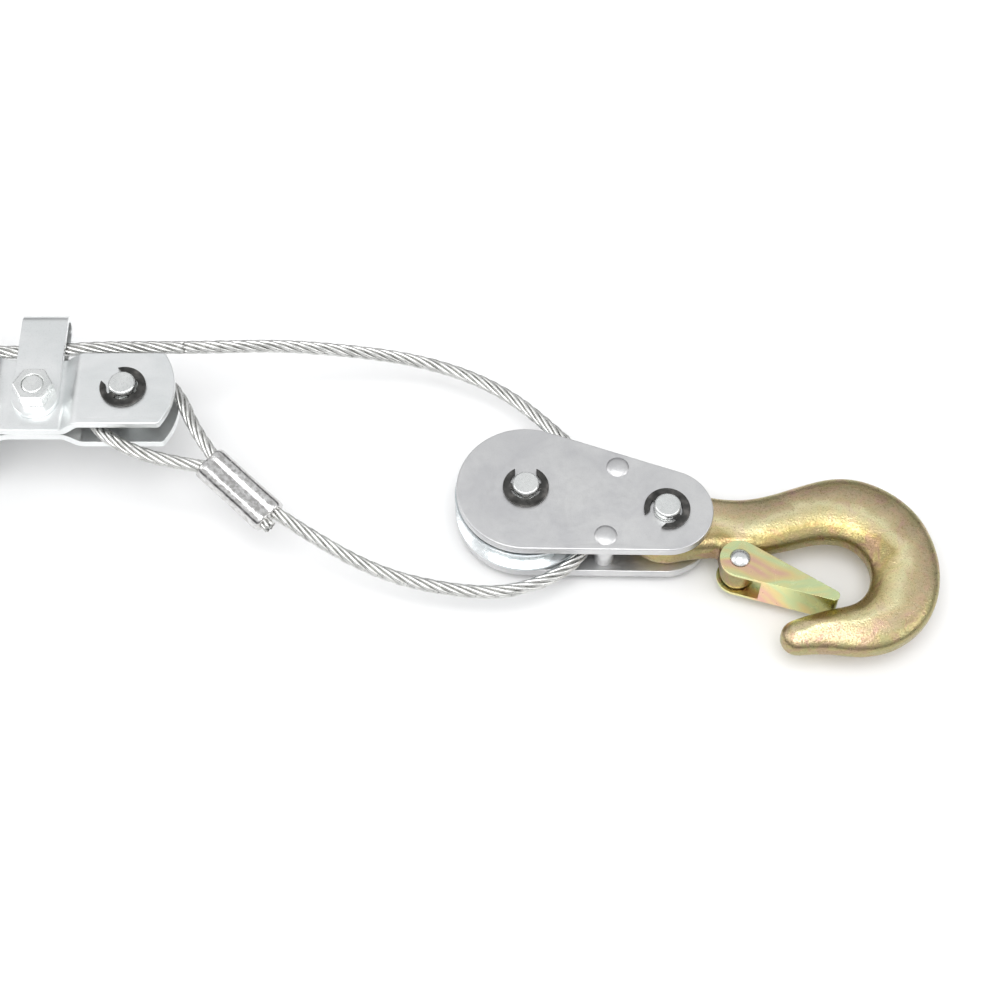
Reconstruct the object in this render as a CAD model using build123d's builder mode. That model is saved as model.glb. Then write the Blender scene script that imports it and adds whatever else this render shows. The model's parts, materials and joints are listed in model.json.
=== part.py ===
from build123d import *
import os
from math import asin, cos, degrees, pi, radians, sin, sqrt, tan

os.makedirs("parts", exist_ok=True)

# Cable winch (come along) lying on its side. X runs along the pull to the front hook,
# Z is the drum axis, and the origin is the bottom of the drum axle.

# Rope, its drum wraps and its bends
rope_diameter = 4.8
rope_clearance = 0.3
rope_nest = 0.2
bend_share = 0.45

# Heights of the two working planes
frame_middle = 36.5
block_middle = 13.5

# Fits and edges shared by the whole winch
pin_fit = 0.06
pin_edge = 0.5
hook_play = 0.4
bore_relief = 1.0

# Hook: outline measured from its own pin, in the plane of the hook
hook_thickness = 11.6
hook_eye_radius = 15.0
hook_edge = 4.4
hook_eye_start = 52.0
hook_eye_turn = 233.0
hook_curve_pull = 0.6
hook_back = [(22, 8.4), (35, 9.6), (50, 14.4), (63.5, 17.3), (78.5, 13.3), (91, 1),
             (96, -17.5), (91, -37.8), (79, -48.9), (65, -52.1), (52, -51.1)]
hook_inside = [(57, -35.2), (65.6, -32.6), (71.7, -21.2), (65.6, -9.9), (57.5, -7.8), (44, -10.2),
               (30, -12.7), (16, -13)]
hook_tip_centre = (44.0, -45.6)
hook_tip_radius = 5.9
hook_tip_start = 115.0
hook_tip_turn = 155.0
hook_boss_radius = 6.2
hook_boss_width = 14.0
hook_boss_root = 10.0
hook_boss_edge = 1.2
hook_boss_step = 0.6

# Hook latch: a folded channel that turns on a rivet in the hook's boss
latch_pivot = (25.1, -18.0)
latch_angle = -24.6
latch_length = 35.0
latch_ear_radius = 7.1
latch_tip_half = 2.0
latch_wall = 1.2
latch_side_play = 0.25
latch_web_start = 10.0
latch_cut_margin = 1.0
latch_rivet_radius = 2.5
latch_head_radius = 3.6
latch_head_height = 1.6
latch_head_play = 0.1
latch_spring_pocket = 5.2
latch_spring_depth = 3.0
latch_spring_radius = 3.7
latch_spring_wire = 0.8
latch_spring_turns = 2
latch_spring_leg = 0.5
latch_spring_pitch = 0.96

# Drum, ratchet wheels and axle
axle_radius = 6.35
axle_fit = 0.08
axle_hex_lip = 3.15
axle_hex_height = 5.0
axle_end_play = 0.5
drum_gap = 48.0
drum_core_wall = 1.1
bush_wall = 2.65
bush_length = 12.0
wheel_thickness = 4.0
wheel_tip_radius = 42.0
tooth_depth = 5.5
tooth_count = 16
tooth_lean = 0.95
dowel_radius = 2.5
dowel_wall = 0.9
dowel_count = 3
washer_rim = 5.65
washer_play = 0.05
drum_washer_room = 2.0
outer_washer_thickness = 1.0

# Pawls: the tip meets a tooth face, and both pawls rest lifted clear of the teeth
pawl_pivot_reach = 12.0
pawl_reach = 40.0
pawl_lift = 14.0
pawl_face_gap = 0.2
pawl_tip_lift = 0.7
pawl_tip_lag = 0.3
pawl_heel_drop = 0.6
pawl_heel_lead = 0.4
pawl_throat_lift = 1.4
pawl_throat_lead = 2.0
pawl_back_lift = 7.5
pawl_back_lead = 6.0
pawl_shoulder_angles = (-150.0, 60.0)
pawl_boss_radius = 6.5
pawl_pin_radius = 4.0
pawl_side_play = 0.2
pawl_tail_length = 18.0
pawl_tail_width = 7.0
thumb_bar_start = 13.0
hold_pawl_angle = 180.0
hold_tail_angle = -70.0
drive_tail_angle = -25.0
rivet_head_radius = 6.5
rivet_head_height = 2.4
spring_wire = 1.3
spring_turns = 5
spring_pitch = 1.625
spring_gap = 0.5
spring_leg = 9.0

# Frame: two bent strips, mirrored about the frame's middle plane, and their lengths along the pull
strip_width = 30.0
strip_thickness = 3.0
strip_bend = 9.0
jog_bend = 4.0
strip_corner = 1.5
nose_gap = 9.4
drum_to_bend = 11.0
pinch_run = 13.0
strap_margin = 6.0
jog_margin = 2.1
jog_run = 5.1
nose_pin_reach = 16.2
nose_end_reach = 18.2
nose_crown = 4.6
rear_bend_reach = 14.0
rear_bend_run = 12.0
rear_pin_reach = 28.0

# Pins and clips
pin_radius = 4.76
pin_head_lip = 2.44
pin_head_height = 3.4
pin_end_height = 3.6
clip_rim = 3.44
clip_throat_gap = 0.94
clip_throat_shift = 0.5
clip_thickness = 1.1
clip_lift = 0.1
clip_groove_depth = 0.76
clip_lug_width = 2.4
clip_lug_root = 1.0
clip_slot_width = 7.6
clip_lug_angles = (-90, 0, 180)
nose_clip_mouth = 135.0
rear_clip_mouth = 60.0
sheave_clip_mouth = 90.0
hook_clip_mouth = 225.0

# Rope guide strap, bolted through the pinched part of the frame
strap_width = 16.6
strap_thickness = 2.2
strap_end_reach = 10.1
strap_arch_y = 30.0
strap_end_margin = 0.1
bolt_radius = 3.95
bolt_fit = 0.15
nut_across_flats = 12.7
nut_height = 5.3
hex_chamfer = 0.35

# Handle
handle_angle = 112.5
arm_width = 24.0
arm_thickness = 3.0
arm_end_radius = 13.0
arm_bend_reach = 18.0
arm_bend_run = 36.0
arm_lap = 42.0
tube_radius = 11.0
tube_wall = 2.0
tube_inset = 4.0
tube_length = 243.0
grip_length = 110.0
grip_wall = 4.0
grip_cap = 5.0
grip_edge = 4.0
grip_fit = 0.05
grip_rib_margin = 10.0
grip_rib_count = 9
grip_rib_depth = 1.0
grip_rib_width = 4.0
handle_rivet_reach = 13.0
handle_rivet_spacing = 19.0
handle_rivet_radius = 4.0

# Pulley block: measured from the sheave pin, along a line to the hook pin
sheave_pin_x = 255.0
sheave_pin_y = -29.0
block_angle = -10.2
block_plate_thickness = 3.9
block_plate_inset = 0.6
block_hook_margin = 1.5
block_edge = 0.5
sheave_to_hook = 10.4
sheave_to_spacer = 5.1
spacer_across = 14.2
spacer_radius = 3.6
spacer_tenon_radius = 3.0
spacer_head_radius = 3.9
spacer_head_height = 0.5
sheave_radius = 25.4
sheave_side_play = 0.2
sheave_rim_width = 11.0
sheave_hub_radius = 11.5
sheave_web_width = 7.6
sheave_web_margin = 2.0
sheave_web_step = 1.0
sheave_groove_depth = 6.9
sheave_groove_width = 9.0
sheave_bush_wall = 2.24

# Ferrule: an oval sleeve that clamps the rope's dead end beside its live end
ferrule_start = Vector(142.75, -23.85, 32.7)
ferrule_end = Vector(165.2, -44.05, 28.3)
ferrule_wall = 1.9
ferrule_side_wall = 1.6
ferrule_edge = 1.0
barrel_gap = 0.25
dead_end_length = 3.0

# Rope routes, chosen by hand
feed_route = [(-4, 23.3, 36.5), (30, 22.2, 36.5), (72, 19.8, 36.5), (98, 22.5, 36.5), (112, 22.5, 36.5)]
run_route = [(112, 22.5, 36.5), (136, 22.5, 36.5), (165, 28.6, 29), (190, 31.6, 21), (212, 31.8, 15.5),
             (232, 26.5, 13.5), (248, 17.5, 13.5), (261, 6, 13.5), (278.5, -13, 13.5), (281, -36, 13.5),
             (273, -55.5, 13.5), (250, -66.5, 13.5), (226, -65, 14), (203, -60, 17), (182, -50.5, 23)]
loop_route = [(137.5, -13, 35), (130.5, 3, 36.5), (119.5, 13.5, 36.5), (105.5, 12.5, 36.5),
              (98.5, 2, 36.5), (101.5, -12, 36.5), (113.5, -20.3, 36), (128, -24.6, 34.4)]

# Values that follow from the sizes above
rope_radius = rope_diameter / 2
axle_hex_flats = 2 * (axle_radius + axle_hex_lip)
bush_radius = axle_radius + bush_wall
dowel_circle = bush_radius + dowel_wall + dowel_radius
drum_core_radius = dowel_circle + dowel_radius + drum_core_wall
washer_radius = axle_radius + washer_rim
pin_head_radius = pin_radius + pin_head_lip
clip_radius = pin_radius + clip_rim
clip_throat = pin_radius + clip_throat_gap
clip_groove_radius = pin_radius - clip_groove_depth
sheave_bush_radius = pin_radius + sheave_bush_wall
block_gap = hook_thickness + 2 * hook_play
latch_gap = hook_thickness + 2 * latch_side_play
wheel_root_radius = wheel_tip_radius - tooth_depth
pawl_pivot_radius = wheel_tip_radius + pawl_pivot_reach
drum_half_gap = drum_gap / 2
outer_wheel_face = drum_half_gap - drum_washer_room
drum_half_width = outer_wheel_face - wheel_thickness
frame_outer_face = drum_half_gap + strip_thickness
arm_inner_face = frame_outer_face + outer_washer_thickness
axle_half_length = arm_inner_face + arm_thickness + axle_end_play + axle_hex_height
first_layer_radius = drum_core_radius + rope_diameter - rope_nest
second_layer_radius = first_layer_radius + rope_diameter - rope_nest
tooth_pitch = 360 / tooth_count
wheel_phase = hold_pawl_angle + pawl_reach + pawl_face_gap
pawl_outer_face = outer_wheel_face - pawl_side_play
pawl_inner_face = drum_half_width + pawl_side_play

drum_bend_x = wheel_tip_radius + drum_to_bend
pinch_end_x = drum_bend_x + pinch_run
strap_x = pinch_end_x + strap_margin + strap_width / 2
jog_low_x = strap_x + strap_width / 2 + jog_margin
jog_high_x = jog_low_x + jog_run
nose_pin_x = jog_high_x + nose_pin_reach
nose_end_x = nose_pin_x + nose_end_reach
nose_shoulder_x = nose_end_x - nose_crown
rear_bend_x = -(pawl_pivot_radius + rear_bend_reach)
rear_clevis_x = rear_bend_x - rear_bend_run
rear_pin_x = rear_clevis_x - rear_pin_reach

arm_bend_start = pawl_pivot_radius + arm_bend_reach
arm_bend_end = arm_bend_start + arm_bend_run
arm_end = arm_bend_end + arm_lap
tube_start = arm_bend_end + tube_inset
tube_end = tube_start + tube_length
grip_start = tube_end - grip_length
grip_radius = tube_radius + grip_wall
first_handle_rivet = arm_bend_end + handle_rivet_reach
handle_rivet_places = (first_handle_rivet, first_handle_rivet + handle_rivet_spacing)

sheave_hub_width = block_gap - 2 * sheave_side_play
sheave_groove_radius = sheave_radius - sheave_groove_depth
block_sheave_end_radius = sheave_radius - block_plate_inset
block_hook_end_radius = hook_eye_radius + block_hook_margin
block_pin_spacing = sheave_radius + sheave_to_hook + hook_eye_radius
spacer_distance = sheave_radius + sheave_to_spacer + spacer_radius
spacer_along = sqrt(spacer_distance ** 2 - spacer_across ** 2)
block_outer_face = block_gap / 2 + block_plate_thickness
block_plane = Plane(origin=(sheave_pin_x, sheave_pin_y, block_middle),
                    x_dir=(cos(radians(block_angle)), sin(radians(block_angle)), 0), z_dir=(0, 0, 1))
hook_pin = block_plane.from_local_coords((block_pin_spacing, 0, 0))
front_hook_plane = Plane(origin=hook_pin)
rear_hook_plane = Plane(origin=(rear_pin_x, 0, frame_middle), x_dir=(-1, 0, 0), z_dir=(0, 0, 1))
frame_plane = Plane.XY.offset(frame_middle)

barrel_offset = rope_radius + barrel_gap
ferrule_width = 2 * (barrel_offset + rope_radius + ferrule_side_wall)
ferrule_height = rope_diameter + 2 * ferrule_wall
ferrule_axis = (ferrule_end - ferrule_start).normalized()
ferrule_side = Vector(0, 0, 1).cross(ferrule_axis).normalized()


def save(part, name):
    part.label = name
    export_step(part, f"parts/{name}.step")


def polar(radius, angle):
    return (radius * cos(radians(angle)), radius * sin(radians(angle)))


def turned(plane, angle):
    return plane.rotated((0, 0, angle))


def across_middle(part, plane=frame_plane):
    with BuildPart() as mirrored:
        add(part)
        mirror(about=plane, mode=Mode.REPLACE)
    return mirrored.part


def bent_strip(corners, radii, width, thickness, plane):
    """A flat strip bent along a line in its side view; the line is the strip's middle."""
    with BuildPart() as strip:
        with BuildLine(plane) as middle_line:
            FilletPolyline(*corners, radius=radii)
        start = Plane(middle_line.line @ 0, x_dir=(0, 1, 0), z_dir=middle_line.line % 0)
        with BuildSketch(start):
            Rectangle(width, thickness)
        sweep()
    return strip.part


def frame_strip():
    offset_to_middle = frame_middle + strip_thickness / 2
    side_line = [(nose_end_x, nose_gap / 2), (jog_high_x, nose_gap / 2), (jog_low_x, 0), (pinch_end_x, 0),
                 (drum_bend_x, drum_half_gap), (rear_bend_x, drum_half_gap), (rear_clevis_x, block_gap / 2),
                 (rear_pin_x - strip_width / 2, block_gap / 2)]
    corners = [(x, gap + offset_to_middle) for x, gap in side_line]
    radii = [jog_bend, jog_bend, strip_bend, strip_bend, strip_bend, strip_bend]
    strip = bent_strip(corners, radii, strip_width, strip_thickness, Plane.XZ)
    half = strip_width / 2
    with BuildPart() as plate:
        add(strip)
        with BuildSketch():
            with BuildLine():
                Line((rear_pin_x, half), (nose_shoulder_x, half))
                ThreePointArc((nose_shoulder_x, half), (nose_end_x, 0), (nose_shoulder_x, -half))
                Line((nose_shoulder_x, -half), (rear_pin_x, -half))
                ThreePointArc((rear_pin_x, -half), (rear_pin_x - half, 0), (rear_pin_x, half))
            make_face()
            fillet(vertices().sort_by(Axis.X)[-2:], strip_corner)
        extrude(amount=2 * frame_middle, mode=Mode.INTERSECT)
        with BuildSketch():
            with Locations((nose_pin_x, 0), (rear_pin_x, 0)):
                Circle(pin_radius + pin_fit)
            with Locations((strap_x, 0)):
                Circle(bolt_radius + bolt_fit)
            Circle(axle_radius + axle_fit)
            with Locations(polar(pawl_pivot_radius, hold_pawl_angle)):
                Circle(pawl_pin_radius + pin_fit)
        extrude(amount=2 * frame_middle, mode=Mode.SUBTRACT)
    return plate.part


def guide_strap():
    inside = strip_thickness
    outside = strip_thickness + strap_thickness
    end_y = strap_end_reach
    with BuildPart() as strap:
        with BuildSketch(Plane.YZ.offset(strap_x - strap_width / 2)):
            with BuildLine():
                for reach in (inside, outside):
                    Line((-end_y, frame_middle + reach), (strap_arch_y, frame_middle + reach))
                    ThreePointArc((strap_arch_y, frame_middle + reach), (strap_arch_y + reach, frame_middle),
                                  (strap_arch_y, frame_middle - reach))
                    Line((strap_arch_y, frame_middle - reach), (-end_y, frame_middle - reach))
                for side in (-1, 1):
                    Line((-end_y, frame_middle + side * inside), (-end_y, frame_middle + side * outside))
            make_face()
        extrude(amount=strap_width)
        corners = strap.edges().filter_by(Axis.Z).group_by(Axis.Y)[0]
        fillet(corners, strap_width / 2 - strap_end_margin)
        with BuildSketch(Plane.XY):
            with Locations((strap_x, 0)):
                Circle(bolt_radius + bolt_fit)
        extrude(amount=2 * frame_middle, mode=Mode.SUBTRACT)
    return strap.part


def hex_head(plane, flats, height, bore=0):
    """A six-sided head or nut, chamfered round its free end."""
    with BuildPart() as head:
        with BuildSketch(plane):
            RegularPolygon(flats / 2, 6, major_radius=False)
            if bore:
                Circle(bore, mode=Mode.SUBTRACT)
        extrude(amount=height)
        free_end = head.faces().sort_by(Axis.Z)[-1 if plane.z_dir.Z > 0 else 0]
        chamfer(free_end.outer_wire().edges(), hex_chamfer)
    return head.part


def headed_shaft(base, radius, length, head):
    with BuildPart() as bolt:
        add(head)
        with BuildSketch(base):
            Circle(radius)
        extrude(amount=length)
        chamfer(bolt.faces().sort_by(Axis.Z)[-1].edges(), pin_edge)
    return bolt.part


def strap_bolt():
    low_face = frame_middle - strip_thickness - strap_thickness
    base = Plane(origin=(strap_x, 0, low_face))
    head = hex_head(Plane(origin=(strap_x, 0, low_face), z_dir=(0, 0, -1)), nut_across_flats, nut_height)
    length = 2 * (strip_thickness + strap_thickness) + nut_height
    return headed_shaft(base, bolt_radius, length, head)


def strap_nut():
    top_face = frame_middle + strip_thickness + strap_thickness
    return hex_head(Plane(origin=(strap_x, 0, top_face)), nut_across_flats, nut_height, bolt_radius)


def axle_bolt():
    head_top = frame_middle - axle_half_length + axle_hex_height
    head = hex_head(Plane(origin=(0, 0, head_top), z_dir=(0, 0, -1)), axle_hex_flats, axle_hex_height)
    return headed_shaft(Plane.XY.offset(head_top), axle_radius, 2 * axle_half_length - axle_hex_height, head)


def axle_nut():
    low_face = frame_middle + axle_half_length - axle_hex_height
    return hex_head(Plane.XY.offset(low_face), axle_hex_flats, axle_hex_height, axle_radius)


def washers(inner_face, thickness):
    with BuildPart() as pair:
        for side in (-1, 1):
            with BuildSketch(Plane.XY.offset(frame_middle + side * (inner_face + thickness / 2))):
                Circle(washer_radius)
                Circle(axle_radius + axle_fit, mode=Mode.SUBTRACT)
            extrude(amount=thickness / 2, both=True)
    return pair.part


def clip_heights(middle, outer_face, two_ended):
    top = middle + outer_face + clip_lift
    if two_ended:
        return [top, middle - outer_face - clip_lift - clip_thickness]
    return [top]


def clevis_pin(place, middle, outer_face, two_ended):
    """A plain pin with a groove for each retaining clip, and a head where it has no clip."""
    low = middle - outer_face - (pin_end_height if two_ended else pin_head_height)
    high = middle + outer_face + pin_end_height
    with BuildPart() as pin:
        with BuildSketch(Plane(origin=(place[0], place[1], low))):
            Circle(pin_radius)
        extrude(amount=high - low)
        chamfer(pin.faces().sort_by(Axis.Z)[-1].edges(), pin_edge)
        if not two_ended:
            with BuildSketch(Plane(origin=(place[0], place[1], low))):
                Circle(pin_head_radius)
            extrude(amount=pin_head_height)
            chamfer(pin.faces().sort_by(Axis.Z)[0].edges(), pin_edge)
        for height in clip_heights(middle, outer_face, two_ended):
            with BuildSketch(Plane(origin=(place[0], place[1], height - clip_lift / 2))):
                Circle(pin_radius + pin_fit)
                Circle(clip_groove_radius - pin_fit, mode=Mode.SUBTRACT)
            extrude(amount=clip_thickness + clip_lift, mode=Mode.SUBTRACT)
    return pin.part


def retaining_clips(place, middle, outer_face, two_ended, mouth_angle):
    """E-shaped spring clips: a crescent with three lugs that reach into the pin's groove."""
    with BuildPart() as clips:
        for height in clip_heights(middle, outer_face, two_ended):
            level = turned(Plane(origin=(*place, height)), mouth_angle - 90)
            with BuildSketch(level):
                Circle(clip_radius)
                with Locations((0, clip_throat_shift)):
                    Circle(clip_throat, mode=Mode.SUBTRACT)
                for angle in clip_lug_angles:
                    with Locations(Rotation(0, 0, angle)):
                        with Locations(((clip_throat + clip_groove_radius) / 2 + clip_throat_shift, 0)):
                            Rectangle(clip_throat - clip_groove_radius + 2 * clip_lug_root, clip_lug_width)
                Circle(clip_groove_radius, mode=Mode.SUBTRACT)
                with Locations((0, clip_radius)):
                    Rectangle(clip_slot_width, 2 * clip_radius - clip_groove_radius, mode=Mode.SUBTRACT)
            extrude(amount=clip_thickness)
    return clips.part


def drum_core():
    with BuildPart() as core:
        with BuildSketch(frame_plane):
            Circle(drum_core_radius)
            Circle(axle_radius + bore_relief, mode=Mode.SUBTRACT)
            with PolarLocations(dowel_circle, dowel_count):
                Circle(dowel_radius, mode=Mode.SUBTRACT)
        extrude(amount=drum_half_width, both=True)
        for side in (-1, 1):
            with BuildSketch(Plane.XY.offset(frame_middle + side * (drum_half_width - bush_length))):
                Circle(bush_radius)
            extrude(amount=side * bush_length, mode=Mode.SUBTRACT)
    return core.part


def drum_bushes():
    with BuildPart() as bushes:
        for side in (-1, 1):
            with BuildSketch(Plane.XY.offset(frame_middle + side * (drum_half_width - bush_length))):
                Circle(bush_radius)
                Circle(axle_radius + axle_fit, mode=Mode.SUBTRACT)
            extrude(amount=side * bush_length)
    return bushes.part


def ratchet_wheel(side):
    outline = []
    for tooth in range(tooth_count):
        face_angle = wheel_phase + tooth * tooth_pitch
        outline.append(polar(wheel_root_radius, face_angle))
        outline.append(polar(wheel_tip_radius, face_angle + tooth_lean))
    low = frame_middle + min(side * drum_half_width, side * outer_wheel_face)
    with BuildPart() as wheel:
        with BuildSketch(Plane.XY.offset(low)):
            with BuildLine():
                Polyline(*outline, close=True)
            make_face()
            Circle(axle_radius + bore_relief, mode=Mode.SUBTRACT)
            with PolarLocations(dowel_circle, dowel_count):
                Circle(dowel_radius, mode=Mode.SUBTRACT)
        extrude(amount=wheel_thickness)
    return wheel.part


def drum_dowels():
    with BuildPart() as dowels:
        with BuildSketch(frame_plane):
            with PolarLocations(dowel_circle, dowel_count):
                Circle(dowel_radius)
        extrude(amount=outer_wheel_face, both=True)
    return dowels.part


def drum_wraps():
    """The rope wound on the drum: a full first layer and a second one up to the rope's exit."""
    with BuildPart() as wraps:
        with BuildSketch(frame_plane):
            Circle(first_layer_radius)
            Circle(drum_core_radius, mode=Mode.SUBTRACT)
        extrude(amount=drum_half_width, both=True)
        with BuildSketch(Plane.XY.offset(frame_middle + rope_radius + rope_clearance)):
            Circle(second_layer_radius)
            Circle(drum_core_radius, mode=Mode.SUBTRACT)
        extrude(amount=drum_half_width - rope_radius - rope_clearance)
    return wraps.part


def pawl(pivot_angle, tail_angle):
    """Two fingers, one for each ratchet wheel, on a tube that turns on the pawl pin."""
    pivot = polar(pawl_pivot_radius, pivot_angle)
    level = turned(Plane(origin=(*pivot, frame_middle)), pivot_angle - pawl_lift)

    def local(radius, angle):
        x, y = polar(radius, angle)
        return (x - pawl_pivot_radius, y)

    tip = local(wheel_root_radius + pawl_tip_lift, pawl_reach - pawl_tip_lag)
    heel = local(wheel_tip_radius - pawl_heel_drop, pawl_reach + pawl_heel_lead)
    throat = local(wheel_tip_radius + pawl_throat_lift, pawl_reach - tooth_pitch + pawl_throat_lead)
    back = local(wheel_tip_radius + pawl_back_lift, pawl_reach - tooth_pitch + pawl_back_lead)
    shoulders = [polar(pawl_boss_radius, angle) for angle in pawl_shoulder_angles]
    with BuildPart() as body:
        for side in (-1, 1):
            with BuildSketch(level.offset(min(side * pawl_inner_face, side * pawl_outer_face))):
                with BuildLine():
                    Polyline(tip, throat, *shoulders, back, heel, close=True)
                make_face()
                Circle(pawl_boss_radius)
                with Locations(Rotation(0, 0, tail_angle)):
                    with Locations((pawl_tail_length / 2, 0)):
                        Rectangle(pawl_tail_length, pawl_tail_width)
            extrude(amount=pawl_outer_face - pawl_inner_face)
        with BuildSketch(level):
            Circle(pawl_boss_radius)
            with Locations(Rotation(0, 0, tail_angle)):
                with Locations(((thumb_bar_start + pawl_tail_length) / 2, 0)):
                    Rectangle(pawl_tail_length - thumb_bar_start, pawl_tail_width)
        extrude(amount=pawl_outer_face, both=True)
        with BuildSketch(level):
            Circle(pawl_pin_radius + pin_fit)
        extrude(amount=pawl_outer_face, both=True, mode=Mode.SUBTRACT)
    return body.part


def pawl_rivet(pivot_angle, outer_face):
    x, y = polar(pawl_pivot_radius, pivot_angle)
    return domed_rivet(Plane(origin=(x, y, frame_middle)), pawl_pin_radius, outer_face, rivet_head_radius,
                       rivet_head_height)


def domed_rivet(middle, radius, half_length, head_radius, head_height):
    """A shank with a low domed head at both ends."""
    dome_radius = (head_radius ** 2 + head_height ** 2) / (2 * head_height)
    with BuildPart() as rivet:
        with BuildSketch(middle):
            Circle(radius)
        extrude(amount=half_length, both=True)
        for side in (-1, 1):
            seat = Plane(origin=middle.from_local_coords((0, 0, side * half_length)), z_dir=(0, 0, side))
            with BuildSketch(Plane(origin=seat.origin, x_dir=(1, 0, 0), z_dir=(0, -side, 0))):
                with BuildLine():
                    Line((0, 0), (head_radius, 0))
                    ThreePointArc((head_radius, 0), dome_point(dome_radius, head_height, head_radius / 2),
                                  (0, head_height))
                    Line((0, head_height), (0, 0))
                make_face()
            revolve(axis=Axis(seat.origin, (0, 0, 1)))
    return rivet.part


def dome_point(dome_radius, head_height, x):
    return (x, (dome_radius ** 2 - x ** 2) ** 0.5 - (dome_radius - head_height))


def torsion_spring(pivot_angle):
    """A coil round the pawl's tube, with one straight leg."""
    x, y = polar(pawl_pivot_radius, pivot_angle)
    radius = pawl_boss_radius + spring_gap + spring_wire / 2
    base = Location((x, y, frame_middle - spring_pitch * spring_turns / 2), (0, 0, pivot_angle - 90))
    return coil(base, radius, spring_pitch, spring_turns, spring_wire, spring_leg)


def coil(base, radius, pitch, turns, wire, leg):
    with BuildPart() as spring:
        with BuildLine() as turns_line:
            Helix(pitch=pitch, height=pitch * turns, radius=radius)
        with BuildSketch(Plane(turns_line.line @ 0, z_dir=turns_line.line % 0)):
            Circle(wire / 2)
        sweep(is_frenet=True)
        with BuildSketch(Plane(turns_line.line @ 1, z_dir=turns_line.line % 1)):
            Circle(wire / 2)
        extrude(amount=leg)
    return base * spring.part


def handle_arm():
    offset_to_middle = frame_middle + arm_thickness / 2
    side_line = [(-arm_end_radius, arm_inner_face), (arm_bend_start, arm_inner_face),
                 (arm_bend_end, tube_radius), (arm_end, tube_radius)]
    corners = [(x, gap + offset_to_middle) for x, gap in side_line]
    strip = bent_strip(corners, [strip_bend, strip_bend], arm_width, arm_thickness, Plane.XZ)
    half = arm_width / 2
    with BuildPart() as arm:
        add(strip)
        with BuildSketch():
            with BuildLine():
                Line((0, half), (arm_end - half, half))
                ThreePointArc((arm_end - half, half), (arm_end, 0), (arm_end - half, -half))
                Line((arm_end - half, -half), (0, -half))
                ThreePointArc((0, -half), (-half, 0), (0, half))
            make_face()
        extrude(amount=3 * frame_middle, mode=Mode.INTERSECT)
        with BuildSketch():
            Circle(axle_radius + axle_fit)
            with Locations((pawl_pivot_radius, 0)):
                Circle(pawl_pin_radius + pin_fit)
            with Locations(*[(place, 0) for place in handle_rivet_places]):
                Circle(handle_rivet_radius + pin_fit)
        extrude(amount=3 * frame_middle, mode=Mode.SUBTRACT)
    return arm.part.rotate(Axis.Z, handle_angle)


def handle_plane(distance):
    x, y = polar(distance, handle_angle)
    return Plane(origin=(x, y, frame_middle), x_dir=(0, 0, 1), z_dir=(*polar(1, handle_angle), 0))


def handle_tube():
    with BuildPart() as tube:
        with BuildSketch(handle_plane(tube_start)):
            Circle(tube_radius)
            Circle(tube_radius - tube_wall, mode=Mode.SUBTRACT)
        extrude(amount=tube_end - tube_start)
        for place in handle_rivet_places:
            x, y = polar(place, handle_angle)
            with BuildSketch(Plane(origin=(x, y, frame_middle))):
                Circle(handle_rivet_radius + pin_fit)
            extrude(amount=tube_radius, both=True, mode=Mode.SUBTRACT)
    return tube.part


def handle_grip():
    """A moulded sleeve with finger grooves and a closed end."""
    with BuildPart() as grip:
        with BuildSketch(handle_plane(grip_start)):
            Circle(grip_radius)
        extrude(amount=grip_length + grip_cap)
        fillet(grip.edges(), grip_edge)
        spacing = (grip_length - 2 * grip_rib_margin) / (grip_rib_count - 1)
        for rib in range(grip_rib_count):
            with BuildSketch(handle_plane(grip_start + grip_rib_margin + rib * spacing - grip_rib_width / 2)):
                Circle(grip_radius + grip_rib_depth)
                Circle(grip_radius - grip_rib_depth, mode=Mode.SUBTRACT)
            extrude(amount=grip_rib_width, mode=Mode.SUBTRACT)
        with BuildSketch(handle_plane(grip_start)):
            Circle(tube_radius + grip_fit)
        extrude(amount=grip_length, mode=Mode.SUBTRACT)
    return grip.part


def handle_rivets():
    with BuildPart() as rivets:
        for place in handle_rivet_places:
            x, y = polar(place, handle_angle)
            middle = Plane(origin=(x, y, frame_middle))
            add(domed_rivet(middle, handle_rivet_radius, tube_radius + arm_thickness, rivet_head_radius,
                            rivet_head_height))
    return rivets.part


def block_plate():
    with BuildPart() as plate:
        with BuildSketch(block_plane.offset(block_gap / 2)):
            Circle(block_sheave_end_radius)
            with Locations((block_pin_spacing, 0)):
                Circle(block_hook_end_radius)
            make_hull()
            with Locations((0, 0), (block_pin_spacing, 0)):
                Circle(pin_radius + pin_fit, mode=Mode.SUBTRACT)
            with Locations((spacer_along, spacer_across), (spacer_along, -spacer_across)):
                Circle(spacer_tenon_radius, mode=Mode.SUBTRACT)
        extrude(amount=block_plate_thickness)
        for end in (0, -1):
            fillet(plate.faces().sort_by(Axis.Z)[end].outer_wire().edges(), block_edge)
    return plate.part


def block_spacers():
    """Shouldered spacers whose ends are riveted over outside the plates."""
    with BuildPart() as spacers:
        for side in (-1, 1):
            place = (spacer_along, side * spacer_across, 0)
            middle = Plane(origin=block_plane.from_local_coords(place))
            add(domed_rivet(middle, spacer_tenon_radius, block_outer_face, spacer_head_radius,
                            spacer_head_height))
            with BuildSketch(middle):
                Circle(spacer_radius)
            extrude(amount=block_gap / 2, both=True)
    return spacers.part


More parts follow.
